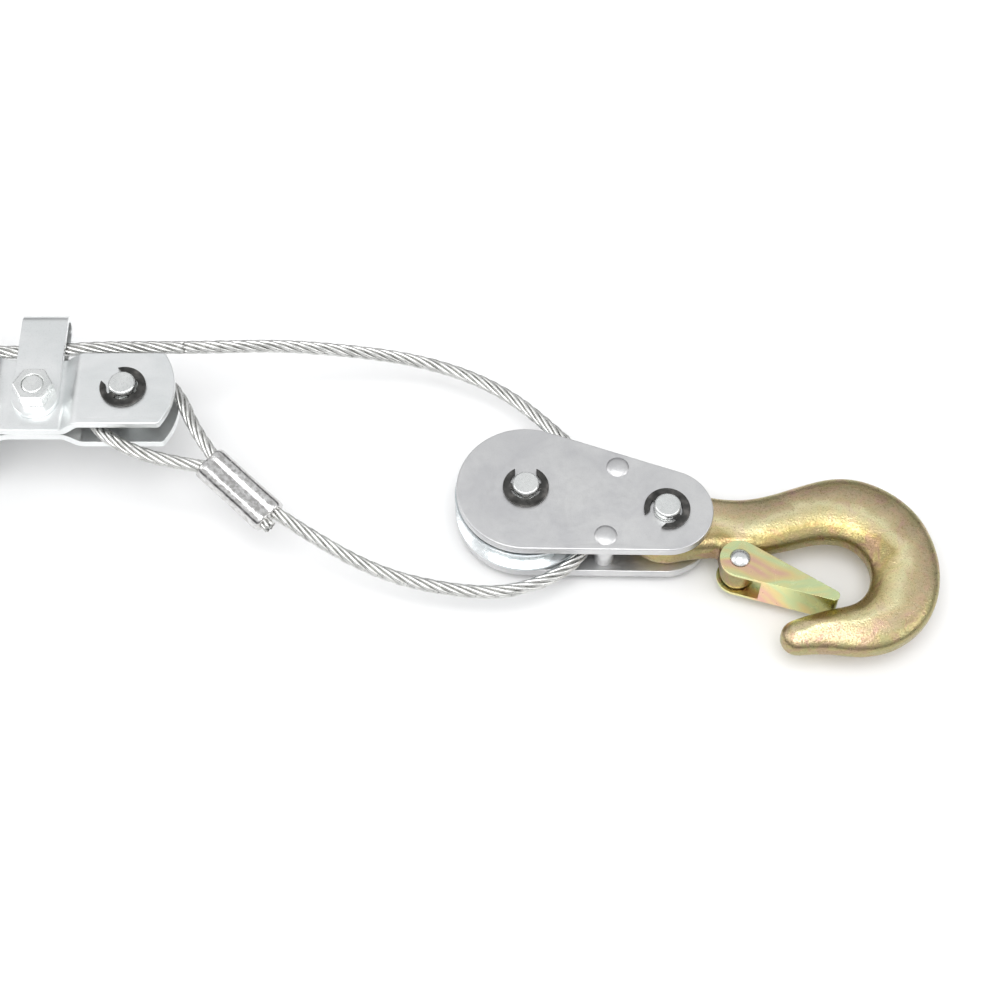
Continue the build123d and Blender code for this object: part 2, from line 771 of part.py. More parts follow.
def sheave():
    half_rim = sheave_rim_width / 2
    half_hub = sheave_hub_width / 2
    half_web = sheave_web_width / 2
    half_groove = sheave_groove_width / 2
    groove_rope = rope_radius + rope_nest
    web_outer = sheave_groove_radius - sheave_web_margin
    web_rim = web_outer + sheave_web_step
    web_hub = sheave_hub_radius + sheave_web_step
    with BuildPart() as wheel:
        with BuildSketch(Plane(origin=block_plane.origin, x_dir=(1, 0, 0), z_dir=(0, -1, 0))):
            with BuildLine():
                Polyline((sheave_bush_radius, -half_hub), (sheave_hub_radius, -half_hub),
                         (web_hub, -half_web), (web_outer, -half_web), (web_rim, -half_rim),
                         (sheave_radius, -half_rim), (sheave_radius, -half_groove),
                         (sheave_groove_radius + groove_rope, -groove_rope))
                ThreePointArc((sheave_groove_radius + groove_rope, -groove_rope), (sheave_groove_radius, 0),
                              (sheave_groove_radius + groove_rope, groove_rope))
                Polyline((sheave_groove_radius + groove_rope, groove_rope), (sheave_radius, half_groove),
                         (sheave_radius, half_rim), (web_rim, half_rim), (web_outer, half_web),
                         (web_hub, half_web), (sheave_hub_radius, half_hub),
                         (sheave_bush_radius, half_hub), (sheave_bush_radius, -half_hub))
            make_face()
        revolve(axis=Axis(block_plane.origin, (0, 0, 1)))
    return wheel.part


def sheave_bush():
    with BuildPart() as bush:
        with BuildSketch(block_plane):
            Circle(sheave_bush_radius)
            Circle(pin_radius + pin_fit, mode=Mode.SUBTRACT)
        extrude(amount=sheave_hub_width / 2, both=True)
    return bush.part


def hook(plane):
    """A forged slip hook: an eye, a neck with a latch boss, and an open bowl."""
    pull = [hook_curve_pull, hook_curve_pull]
    with BuildPart() as body:
        with BuildSketch(plane):
            with BuildLine():
                eye = CenterArc((0, 0), hook_eye_radius, hook_eye_start, hook_eye_turn)
                tip = CenterArc(hook_tip_centre, hook_tip_radius, hook_tip_start, hook_tip_turn)
                back_ends = [-(eye % 0), -(tip % 1)]
                inside_ends = [-(tip % 0), -(eye % 1)]
                Spline(eye @ 0, *hook_back, tip @ 1, tangents=back_ends, tangent_scalars=pull)
                Spline(tip @ 0, *hook_inside, eye @ 1, tangents=inside_ends, tangent_scalars=pull)
            make_face()
        extrude(amount=hook_thickness / 2, both=True)
        fillet(body.edges().group_by(Axis.Z)[0] + body.edges().group_by(Axis.Z)[-1], hook_edge)
        add(latch_boss(plane))
        with BuildSketch(plane):
            Circle(pin_radius + 2 * pin_fit)
            with Locations(latch_pivot):
                Circle(latch_rivet_radius + pin_fit)
        extrude(amount=hook_thickness, both=True, mode=Mode.SUBTRACT)
        with BuildSketch(plane.offset(-hook_thickness / 2)):
            with Locations(latch_pivot):
                Circle(latch_spring_pocket)
        extrude(amount=latch_spring_depth, mode=Mode.SUBTRACT)
    return body.part


def latch_boss(plane):
    """The lug under the neck that carries the latch rivet."""
    with BuildPart() as boss:
        with BuildSketch(plane):
            with Locations(latch_pivot):
                Circle(hook_boss_radius)
            with Locations((latch_pivot[0], latch_pivot[1] + hook_boss_root)):
                Rectangle(hook_boss_width, 2 * hook_boss_edge)
            make_hull()
        extrude(amount=hook_thickness / 2 - hook_boss_step, both=True)
        fillet(boss.edges().group_by(Axis.Z)[0] + boss.edges().group_by(Axis.Z)[-1], hook_boss_edge)
    return boss.part


def latch_plane(plane):
    pivot = plane.from_local_coords((*latch_pivot, 0))
    return turned(Plane(origin=pivot, x_dir=plane.x_dir, z_dir=(0, 0, 1)), latch_angle)


def latch(plane):
    """Two ears joined by a web along the lower edge."""
    level = latch_plane(plane)
    with BuildPart() as channel:
        with BuildSketch(level):
            Circle(latch_ear_radius)
            with Locations((latch_length, 0)):
                Circle(latch_tip_half)
            make_hull()
        extrude(amount=latch_gap / 2 + latch_wall, both=True)
        with BuildSketch(level):
            Circle(latch_ear_radius + latch_cut_margin)
            with Locations((latch_length, 0)):
                Circle(latch_tip_half + latch_cut_margin)
            make_hull()
            web_slope = asin((latch_ear_radius - latch_tip_half) / latch_length)
            lower_edge = -(latch_ear_radius - latch_web_start * sin(web_slope)) / cos(web_slope)
            web_corner = (latch_web_start, lower_edge + latch_wall / cos(web_slope))
            with Locations(Location(web_corner, (0, 0, degrees(web_slope)))):
                Rectangle(2 * latch_length, 4 * latch_wall, align=(Align.MIN, Align.MAX), mode=Mode.SUBTRACT)
        extrude(amount=latch_gap / 2, both=True, mode=Mode.SUBTRACT)
        with BuildSketch(level):
            Circle(latch_rivet_radius + pin_fit)
        extrude(amount=latch_gap, both=True, mode=Mode.SUBTRACT)
    return channel.part


def latch_rivet(plane):
    half_length = latch_gap / 2 + latch_wall + latch_head_play
    middle = Plane(origin=latch_plane(plane).origin)
    return domed_rivet(middle, latch_rivet_radius, half_length, latch_head_radius, latch_head_height)


def latch_spring(plane):
    pivot = latch_plane(plane).origin
    height = pivot.Z - hook_thickness / 2 + latch_spring_wire / 2 + latch_head_play
    base = Location((pivot.X, pivot.Y, height))
    return coil(base, latch_spring_radius, latch_spring_pitch, latch_spring_turns, latch_spring_wire,
                latch_spring_leg)


def route_radii(route):
    """The largest bend each corner allows, from its two runs and its turn."""
    points = [Vector(*point) for point in route]
    radii = []
    for before, corner, after in zip(points, points[1:], points[2:]):
        turn = (corner - before).get_angle(after - corner)
        shorter = min((corner - before).length, (after - corner).length)
        radii.append(bend_share * shorter / tan(radians(turn / 2)))
    return radii


def rope_tube(name, route):
    radii = route_radii(route)
    with BuildPart() as tube:
        with BuildLine() as centre:
            FilletPolyline(*route, radius=radii)
        with BuildSketch(Plane(centre.line @ 0, z_dir=centre.line % 0)):
            Circle(rope_radius)
        sweep()
    length = sum(edge.length for edge in centre.edges())
    section = pi * rope_radius ** 2
    print(name, "length", round(length, 1), "volume ratio", round(tube.part.volume / (section * length), 4),
          "radii", [round(radius, 1) for radius in radii])
    return tube.part


def barrel(end, side):
    """The centre of one of the ferrule's two barrels at one of its ends."""
    point = end + ferrule_side * (side * barrel_offset)
    return (point.X, point.Y, point.Z)


def ferrule():
    with BuildPart() as sleeve:
        with BuildSketch(Plane(ferrule_start, x_dir=ferrule_side, z_dir=ferrule_axis)):
            SlotOverall(ferrule_width, ferrule_height)
        extrude(amount=(ferrule_end - ferrule_start).length)
        fillet(sleeve.faces().group_by(SortBy.AREA)[0].edges(), ferrule_edge)
    return sleeve.part


def rope_dead_end():
    with BuildPart() as stub:
        with BuildSketch(Plane(barrel(ferrule_end, -1), z_dir=ferrule_axis)):
            Circle(rope_radius)
        extrude(amount=dead_end_length)
    return stub.part


def build_frame():
    strip = frame_strip()
    save(strip, "frame_plate_top")
    save(across_middle(strip), "frame_plate_bottom")
    save(guide_strap(), "rope_guide_strap")
    save(strap_bolt(), "strap_bolt")
    save(strap_nut(), "strap_nut")
    save(axle_bolt(), "drum_axle_bolt")
    save(axle_nut(), "drum_axle_nut")
    save(washers(outer_wheel_face + washer_play, drum_washer_room - 2 * washer_play), "drum_washers")
    save(washers(frame_outer_face, outer_washer_thickness - washer_play), "handle_washers")
    nose = ((nose_pin_x, 0), frame_middle, nose_gap / 2 + strip_thickness, True)
    save(clevis_pin(*nose), "nose_pin")
    save(retaining_clips(*nose, nose_clip_mouth), "nose_pin_clips")
    rear = ((rear_pin_x, 0), frame_middle, block_gap / 2 + strip_thickness, True)
    save(clevis_pin(*rear), "rear_hook_pin")
    save(retaining_clips(*rear, rear_clip_mouth), "rear_hook_pin_clips")
    save(pawl_rivet(hold_pawl_angle, frame_outer_face), "hold_pawl_pin")
    save(torsion_spring(hold_pawl_angle), "hold_pawl_spring")


def build_drum():
    save(drum_core(), "drum_core")
    save(drum_bushes(), "drum_bushes")
    save(ratchet_wheel(1), "ratchet_wheel_top")
    save(ratchet_wheel(-1), "ratchet_wheel_bottom")
    save(drum_dowels(), "drum_dowels")
    save(drum_wraps(), "rope_on_drum")
    save(pawl(hold_pawl_angle, hold_tail_angle), "hold_pawl")


def build_handle():
    arm = handle_arm()
    save(arm, "handle_arm_top")
    save(across_middle(arm), "handle_arm_bottom")
    save(handle_tube(), "handle_tube")
    save(handle_grip(), "handle_grip")
    save(handle_rivets(), "handle_rivets")
    save(pawl_rivet(handle_angle, arm_inner_face + arm_thickness), "drive_pawl_pin")
    save(torsion_spring(handle_angle), "drive_pawl_spring")
    save(pawl(handle_angle, drive_tail_angle), "drive_pawl")


def build_block():
    plate = block_plate()
    save(plate, "block_plate_front")
    save(across_middle(plate, Plane.XY.offset(block_middle)), "block_plate_rear")
    save(block_spacers(), "block_spacers")
    save(sheave(), "sheave")
    save(sheave_bush(), "sheave_bush")
    sheave_end = ((sheave_pin_x, sheave_pin_y), block_middle, block_outer_face, False)
    hook_end = ((hook_pin.X, hook_pin.Y), block_middle, block_outer_face, False)
    save(clevis_pin(*sheave_end), "sheave_pin")
    save(clevis_pin(*hook_end), "front_hook_pin")
    save(retaining_clips(*sheave_end, sheave_clip_mouth), "sheave_pin_clip")
    save(retaining_clips(*hook_end, hook_clip_mouth), "front_hook_pin_clip")


def build_hooks():
    for name, plane in (("front", front_hook_plane), ("rear", rear_hook_plane)):
        save(hook(plane), f"{name}_hook")
        save(latch(plane), f"{name}_latch")
        save(latch_rivet(plane), f"{name}_latch_rivet")
        save(latch_spring(plane), f"{name}_latch_spring")


def build_rope():
    save(ferrule(), "ferrule")
    save(rope_tube("feed", feed_route), "rope_feed")
    save(rope_tube("run", run_route + [barrel(ferrule_end, 1)]), "rope_run")
    loop = [barrel(ferrule_start, 1)] + loop_route + [barrel(ferrule_start, -1)]
    save(rope_tube("eye loop", loop), "rope_eye_loop")
    save(rope_dead_end(), "rope_dead_end")


build_frame()
build_drum()
build_handle()
build_block()
build_hooks()
build_rope()
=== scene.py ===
import json
import math

import bmesh
import bpy
import numpy as np
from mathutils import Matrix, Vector, kdtree, noise


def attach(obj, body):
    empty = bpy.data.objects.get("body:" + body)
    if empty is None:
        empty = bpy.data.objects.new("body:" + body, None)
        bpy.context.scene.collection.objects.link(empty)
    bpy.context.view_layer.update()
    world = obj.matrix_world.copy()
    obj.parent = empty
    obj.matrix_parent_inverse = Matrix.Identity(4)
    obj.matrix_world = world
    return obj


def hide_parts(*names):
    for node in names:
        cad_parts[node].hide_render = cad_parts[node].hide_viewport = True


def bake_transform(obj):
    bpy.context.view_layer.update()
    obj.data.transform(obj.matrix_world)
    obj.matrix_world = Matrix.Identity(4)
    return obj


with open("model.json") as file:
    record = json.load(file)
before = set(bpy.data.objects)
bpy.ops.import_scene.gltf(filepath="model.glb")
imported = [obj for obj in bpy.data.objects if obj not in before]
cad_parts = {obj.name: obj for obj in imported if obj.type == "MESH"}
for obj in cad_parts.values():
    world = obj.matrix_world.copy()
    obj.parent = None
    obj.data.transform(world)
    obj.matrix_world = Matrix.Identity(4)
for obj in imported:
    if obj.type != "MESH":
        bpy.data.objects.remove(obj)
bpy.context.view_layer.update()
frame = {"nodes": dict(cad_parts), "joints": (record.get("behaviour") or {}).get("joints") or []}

jointPlaces = {joint["name"]: joint.get("pos_m") for joint in frame["joints"]}
print("frame loaded:", len(frame["nodes"]), "nodes")


# camera first, then the ropes, then the metal around them
cameraSet = {"target": (0.2458, -0.0332, 0.022), "distance": 0.7, "elevation": 60.0, "lens": 70.74}


def aimCamera(facts):
    tilt = math.radians(facts["elevation"])
    back = Vector((0, -math.cos(tilt), math.sin(tilt)))
    data = bpy.data.cameras.new("camera")
    data.lens = facts["lens"]
    data.clip_start = 0.01
    camera = bpy.data.objects.new("camera", data)
    camera.location = Vector(facts["target"]) + back * facts["distance"]
    camera.rotation_mode = "QUATERNION"
    camera.rotation_quaternion = (-back).to_track_quat("-Z", "Y")
    bpy.context.scene.collection.objects.link(camera)
    bpy.context.scene.camera = camera


aimCamera(cameraSet)


# ways to put a finish together
def startMaterial(name, metallic, roughness):
    material = bpy.data.materials.new(name)
    material.use_nodes = True
    shader = material.node_tree.nodes["Principled BSDF"]
    shader.inputs["Metallic"].default_value = metallic
    shader.inputs["Roughness"].default_value = roughness
    return material, shader


def addNode(material, kind, **settings):
    node = material.node_tree.nodes.new(kind)
    for name, value in settings.items():
        setattr(node, name, value)
    return node


def wire(material, output, target):
    material.node_tree.links.new(output, target)


def cloud(material, scale, detail=4.0, stretch=(1, 1, 1), warp=0.0):
    # noise on the object's own coordinates, in metres
    place = addNode(material, "ShaderNodeTexCoord")
    shape = addNode(material, "ShaderNodeMapping")
    shape.inputs["Scale"].default_value = stretch
    field = addNode(material, "ShaderNodeTexNoise")
    field.inputs["Scale"].default_value = scale
    field.inputs["Detail"].default_value = detail
    field.inputs["Distortion"].default_value = warp
    wire(material, place.outputs["Object"], shape.inputs["Vector"])
    wire(material, shape.outputs["Vector"], field.inputs["Vector"])
    return field.outputs["Fac"]


def colours(material, value, stops):
    ramp = addNode(material, "ShaderNodeValToRGB")
    while len(ramp.color_ramp.elements) < len(stops):
        ramp.color_ramp.elements.new(0.5)
    for element, (place, colour) in zip(ramp.color_ramp.elements, stops):
        element.position = place
        element.color = (*colour, 1)
    wire(material, value, ramp.inputs["Fac"])
    return ramp.outputs["Color"]


def spanned(material, value, low, high, start=0.3, end=0.7):
    span = addNode(material, "ShaderNodeMapRange")
    span.inputs["From Min"].default_value = start
    span.inputs["From Max"].default_value = end
    span.inputs["To Min"].default_value = low
    span.inputs["To Max"].default_value = high
    wire(material, value, span.inputs["Value"])
    return span.outputs["Result"]


def mixed(material, share, first, second, blend="MIX"):
    mix = addNode(material, "ShaderNodeMix", data_type="RGBA", blend_type=blend)
    for value, target in ((share, mix.inputs["Factor"]), (first, mix.inputs["A"]), (second, mix.inputs["B"])):
        if isinstance(value, (int, float)):
            target.default_value = value
        elif isinstance(value, tuple):
            target.default_value = (*value, 1)
        else:
            wire(material, value, target)
    return mix.outputs["Result"]


def roughen(material, shader, layers):
    # stacks bumps, each with its own field and its depth in metres
    normal = None
    for value, depth in layers:
        bump = addNode(material, "ShaderNodeBump")
        bump.inputs["Distance"].default_value = depth
        wire(material, value, bump.inputs["Height"])
        if normal:
            wire(material, normal, bump.inputs["Normal"])
        normal = bump.outputs["Normal"]
    wire(material, normal, shader.inputs["Normal"])


zincLooks = {
    "frame": {"bright": (0.93, 0.94, 0.94), "dull": (0.84, 0.86, 0.86),
              "rough": (0.30, 0.42), "grain": (8, 90, 90)},
    "block": {"bright": (0.70, 0.70, 0.70), "dull": (0.61, 0.61, 0.62),
              "rough": (0.36, 0.46), "grain": (30, 30, 30)},
    "pin": {"bright": (0.90, 0.91, 0.90), "dull": (0.74, 0.76, 0.75),
            "rough": (0.22, 0.36), "grain": (40, 40, 40)},
    "sheave": {"bright": (0.86, 0.89, 0.90), "dull": (0.62, 0.68, 0.70),
               "rough": (0.14, 0.26), "grain": (40, 40, 9)},
    "drum": {"bright": (0.72, 0.74, 0.75), "dull": (0.55, 0.57, 0.58),
             "rough": (0.30, 0.48), "grain": (40, 40, 40)},
}


def makeZinc(name, look):
    material, shader = startMaterial(name, 1.0, 0.3)
    patches = cloud(material, 60, detail=6, warp=0.6)
    grain = cloud(material, 22, detail=8, stretch=look["grain"])
    speckle = cloud(material, 2600, detail=3)
    base = colours(material, patches, [(0.35, look["dull"]), (0.62, look["bright"])])
    base = mixed(material, spanned(material, speckle, 0.0, 0.22, 0.55, 0.75), base, (0.42, 0.43, 0.43))
    wire(material, base, shader.inputs["Base Color"])
    wire(material, spanned(material, grain, *look["rough"]), shader.inputs["Roughness"])
    fine = cloud(material, 500, detail=4)
    roughen(material, shader, [(fine, 0.000012), (grain, 0.000018), (speckle, 0.000010)])
    return material


def makeHookPlating():
    # thin yellow chromate over a shot blasted forging, pinkish on the back; across the section the colour
    # also holds painted light: a painted highlight on the gold crown and painted shade toward the brown
    # inside edge and the dark outer edge
    material, shader = startMaterial("yellowChromateForged", 1.0, 0.35)
    side = addNode(material, "ShaderNodeAttribute", attribute_name="outward")
    drift = addNode(material, "ShaderNodeMath", operation="ADD")
    wire(material, side.outputs["Fac"], drift.inputs[0])
    wire(material, spanned(material, cloud(material, 45, detail=5, warp=0.8), -0.16, 0.16), drift.inputs[1])
    # painted highlight and shade: dark at the inner edge, brightest at the crown, dark again at the outer
    # edge
    tone = colours(material, drift.outputs["Value"], [
        (0.04, (0.22, 0.14, 0.05)), (0.20, (0.42, 0.28, 0.09)), (0.36, (0.84, 0.70, 0.38)),
        (0.50, (0.90, 0.80, 0.50)), (0.62, (0.62, 0.47, 0.28)), (0.78, (0.50, 0.33, 0.24)),
        (0.96, (0.32, 0.25, 0.12))])
    rainbow = colours(material, cloud(material, 110, detail=5, warp=1.4), [
        (0.36, (0.72, 0.50, 0.42)), (0.46, (0.80, 0.72, 0.38)), (0.54, (0.62, 0.72, 0.38)),
        (0.64, (0.84, 0.76, 0.48))])
    tone = mixed(material, 0.26, tone, rainbow)
    pits = cloud(material, 1500, detail=3)
    tone = mixed(material, spanned(material, pits, 0.0, 0.55, 0.52, 0.72), tone, (0.24, 0.17, 0.06))
    wire(material, tone, shader.inputs["Base Color"])
    wire(material, spanned(material, pits, 0.24, 0.46), shader.inputs["Roughness"])
    roughen(material, shader, [(cloud(material, 420, detail=5), 0.00010), (pits, 0.00012)])
    return material


def makeLatchPlating():
    material, shader = startMaterial("yellowChromateSheet", 1.0, 0.2)
    sweepField = cloud(material, 32, detail=2, stretch=(1, 1.6, 1), warp=1.2)
    tone = colours(material, sweepField, [
        (0.30, (0.86, 0.52, 0.42)), (0.40, (0.90, 0.74, 0.36)), (0.50, (0.72, 0.84, 0.46)),
        (0.60, (0.86, 0.86, 0.42)), (0.72, (0.88, 0.58, 0.44))])
    wire(material, tone, shader.inputs["Base Color"])
    wire(material, spanned(material, cloud(material, 300, detail=6), 0.16, 0.30), shader.inputs["Roughness"])
    roughen(material, shader, [(cloud(material, 160, detail=3, stretch=(1, 6, 1)), 0.00002)])
    return material


def makeRopeSteel():
    material, shader = startMaterial("ropeSteel", 1.0, 0.3)
    # painted shade: the rope's colour is darkened toward near black in the grooves between strands and toward
    # the rope's centre, where shade falls
    paintedGrooveShade = addNode(material, "ShaderNodeAttribute", attribute_name="paintedGrooveShade")
    base = colours(material, cloud(material, 260, detail=5), [
        (0.35, (0.62, 0.62, 0.60)), (0.65, (0.86, 0.86, 0.84))])
    base = mixed(material, paintedGrooveShade.outputs["Fac"], base, (0.10, 0.10, 0.095))
    wire(material, base, shader.inputs["Base Color"])
    wire(material, spanned(material, cloud(material, 900, detail=4), 0.22, 0.42), shader.inputs["Roughness"])
    roughen(material, shader, [(cloud(material, 1800, detail=3), 0.000012)])
    return material


def makeAluminium():
    material, shader = startMaterial("pressedAluminium", 1.0, 0.2)
    scratches = cloud(material, 60, detail=8, stretch=(9, 9, 20), warp=0.3)
    base = colours(material, scratches, [(0.38, (0.52, 0.51, 0.50)), (0.6, (0.76, 0.755, 0.75))])
    wire(material, base, shader.inputs["Base Color"])
    wire(material, spanned(material, scratches, 0.12, 0.30), shader.inputs["Roughness"])
    roughen(material, shader, [(scratches, 0.00002), (cloud(material, 700, detail=4), 0.00001)])
    return material


def makeDarkSpringSteel():
    material, shader = startMaterial("darkSpringSteel", 1.0, 0.38)
    base = colours(material, cloud(material, 220, detail=6), [
        (0.35, (0.050, 0.050, 0.048)), (0.55, (0.10, 0.098, 0.094)), (0.70, (0.20, 0.19, 0.18))])
    wire(material, base, shader.inputs["Base Color"])
    wire(material, spanned(material, cloud(material, 700, detail=4), 0.26, 0.46), shader.inputs["Roughness"])
    roughen(material, shader, [(cloud(material, 900, detail=4), 0.00002)])
    return material


def makeRubber():
    material, shader = startMaterial("gripRubber", 0.0, 0.6)
    base = colours(material, cloud(material, 180, detail=6), [
        (0.35, (0.016, 0.016, 0.017)), (0.7, (0.034, 0.034, 0.035))])
    wire(material, base, shader.inputs["Base Color"])
    wire(material, spanned(material, cloud(material, 420, detail=5), 0.48, 0.68), shader.inputs["Roughness"])
    roughen(material, shader, [(cloud(material, 1400, detail=4), 0.00005)])
    return material


def makeBronze():
    material, shader = startMaterial("oiledBronze", 1.0, 0.3)
    base = colours(material, cloud(material, 140, detail=6), [
        (0.35, (0.42, 0.26, 0.11)), (0.65, (0.72, 0.50, 0.24))])
    wire(material, base, shader.inputs["Base Color"])
    wire(material, spanned(material, cloud(material, 600, detail=4), 0.22, 0.42), shader.inputs["Roughness"])
    roughen(material, shader, [(cloud(material, 900, detail=4), 0.00002)])
    return material


finishes = {name: makeZinc(name + "Zinc", look) for name, look in zincLooks.items()}
finishes.update(hook=makeHookPlating(), latch=makeLatchPlating(), rope=makeRopeSteel(),
                ferrule=makeAluminium(), clip=makeDarkSpringSteel(), grip=makeRubber(), bush=makeBronze())
print("finishes made:", len(finishes))


# ways to make a piece; body is None for a rope that runs between two bodies and is attached to neither
def addPiece(name, mesh, finish, body, stands):
    mesh.materials.clear()
    mesh.materials.append(finishes[finish])
    piece = bpy.data.objects.new(name, mesh)
    bpy.context.scene.collection.objects.link(piece)
    if body:
        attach(piece, body)
    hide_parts(*stands)
    return piece


def clamped(value):
    return min(max(value, 0), 1)


def eased(share):
    return share * share * (3 - 2 * share)


def shadeSmooth(mesh):
    mesh.polygons.foreach_set("use_smooth", [True] * len(mesh.polygons))


def evaluatedMesh(holder):
    mesh = bpy.data.meshes.new_from_object(holder.evaluated_get(bpy.context.evaluated_depsgraph_get()))
    bpy.data.objects.remove(holder)
    return mesh


def holderOf(mesh, name):
    holder = bpy.data.objects.new(name + "Work", mesh)
    bpy.context.scene.collection.objects.link(holder)
    return holder


def mergedCopy(node, name):
    # a CAD node's shape as one welded mesh with its flat faces whole
    work = bmesh.new()
    work.from_mesh(frame["nodes"][node].data)
    bmesh.ops.remove_doubles(work, verts=work.verts, dist=0.000002)
    bmesh.ops.dissolve_limit(work, angle_limit=math.radians(0.4), verts=work.verts, edges=work.edges)
    work.verts.ensure_lookup_table()
    points = [vert.co[:] for vert in work.verts]
    faces = [[vert.index for vert in face.verts] for face in work.faces]
    work.free()
    mesh = bpy.data.meshes.new(name)
    mesh.from_pydata(points, [], faces)
    shadeSmooth(mesh)
    return mesh


def edgedCopy(node, name, edge):
    # the same shape with its corners broken, as a stamped or turned piece has them
    holder = holderOf(mergedCopy(node, name), name)
    if edge:
        bevel = holder.modifiers.new("edge", "BEVEL")
        bevel.width = edge
        bevel.segments = 2
        bevel.limit_method = "ANGLE"
        bevel.angle_limit = math.radians(28)
    shading = holder.modifiers.new("shading", "WEIGHTED_NORMAL")
    shading.keep_sharp = False
    return evaluatedMesh(holder)


# rope: six strands laid right handed round a core, each strand's outer wires laid the other way
ropeFacts = {"diameter": 0.0048, "lay": 0.030, "strands": 6, "wires": 12, "wireLay": 0.013,
             "wireDepth": 0.10, "strandSwell": 1.03, "ringStep": 0.001, "cutAt": 0.130, "runGap": 0.002}
feedRoute = [(-0.004, 0.0233, 0.0365), (0.030, 0.0222, 0.0365), (0.072, 0.0198, 0.0365),
             (0.098, 0.0225, 0.0365), (0.112, 0.0225, 0.0365)]
runRoute = [(0.112, 0.0225, 0.0365), (0.136, 0.0225, 0.0365), (0.165, 0.0286, 0.029),
            (0.190, 0.0316, 0.021), (0.212, 0.0318, 0.0155), (0.232, 0.0265, 0.0135),
            (0.248, 0.0175, 0.0135), (0.261, 0.006, 0.0135), (0.2785, -0.013, 0.0135),
            (0.281, -0.036, 0.0135), (0.273, -0.0555, 0.0135), (0.250, -0.0665, 0.0135),
            (0.226, -0.065, 0.014), (0.203, -0.060, 0.017), (0.182, -0.0505, 0.023)]
loopRoute = [(0.1375, -0.013, 0.035), (0.1305, 0.003, 0.0365), (0.1195, 0.0135, 0.0365),
             (0.1055, 0.0125, 0.0365), (0.0985, 0.002, 0.0365), (0.1015, -0.012, 0.0365),
             (0.1135, -0.0203, 0.036), (0.128, -0.0246, 0.0344)]
# the stub is given as shares of its length, from inside the ferrule outward
ferruleFacts = {"start": (0.14275, -0.02385, 0.0327), "end": (0.1652, -0.04405, 0.0283),
                "barrelOffset": 0.00265, "width": 0.0133, "height": 0.0086, "ropeEntry": 0.003,
                "stub": (0, 0.5, 1, 1.5, 1.9), "sides": 64, "flash": 0.00022, "flashReach": 0.10,
                "waist": 0.20, "waistReach": 0.0011, "roundness": 3,
                "mouth": [(0.0, 0.80), (0.0, 0.90), (0.0003, 0.965), (0.0010, 1.0), (0.0025, 1.012)],
                "body": [(0.25, 0.995), (0.5, 0.99), (0.75, 0.995)]}
ferruleStart = Vector(ferruleFacts["start"])
ferruleEnd = Vector(ferruleFacts["end"])
ferruleAxis = (ferruleEnd - ferruleStart).normalized()
ferruleSide = Vector((0, 0, 1)).cross(ferruleAxis).normalized()


def barrel(end, side):
    return tuple(end + ferruleSide * (side * ferruleFacts["barrelOffset"]))


def smoothLine(points, name):
    curve = bpy.data.curves.new(name, "CURVE")
    curve.dimensions = "3D"
    curve.resolution_u = 24
    spline = curve.splines.new("NURBS")
    spline.points.add(len(points) - 1)
    for knot, place in zip(spline.points, points):
        knot.co = (*place, 1)
    spline.order_u = 3
    spline.use_endpoint_u = True
    mesh = bpy.data.meshes.new_from_object(bpy.data.objects.new(name, curve))
    return np.array([vert.co for vert in mesh.vertices], float)


def evenLine(line, step):
    along = np.concatenate([[0], np.cumsum(np.linalg.norm(np.diff(line, axis=0), axis=1))])
    places = np.linspace(0, along[-1], max(3, round(along[-1] / step) + 1))
    return np.stack([np.interp(places, along, line[:, axis]) for axis in range(3)], axis=1)


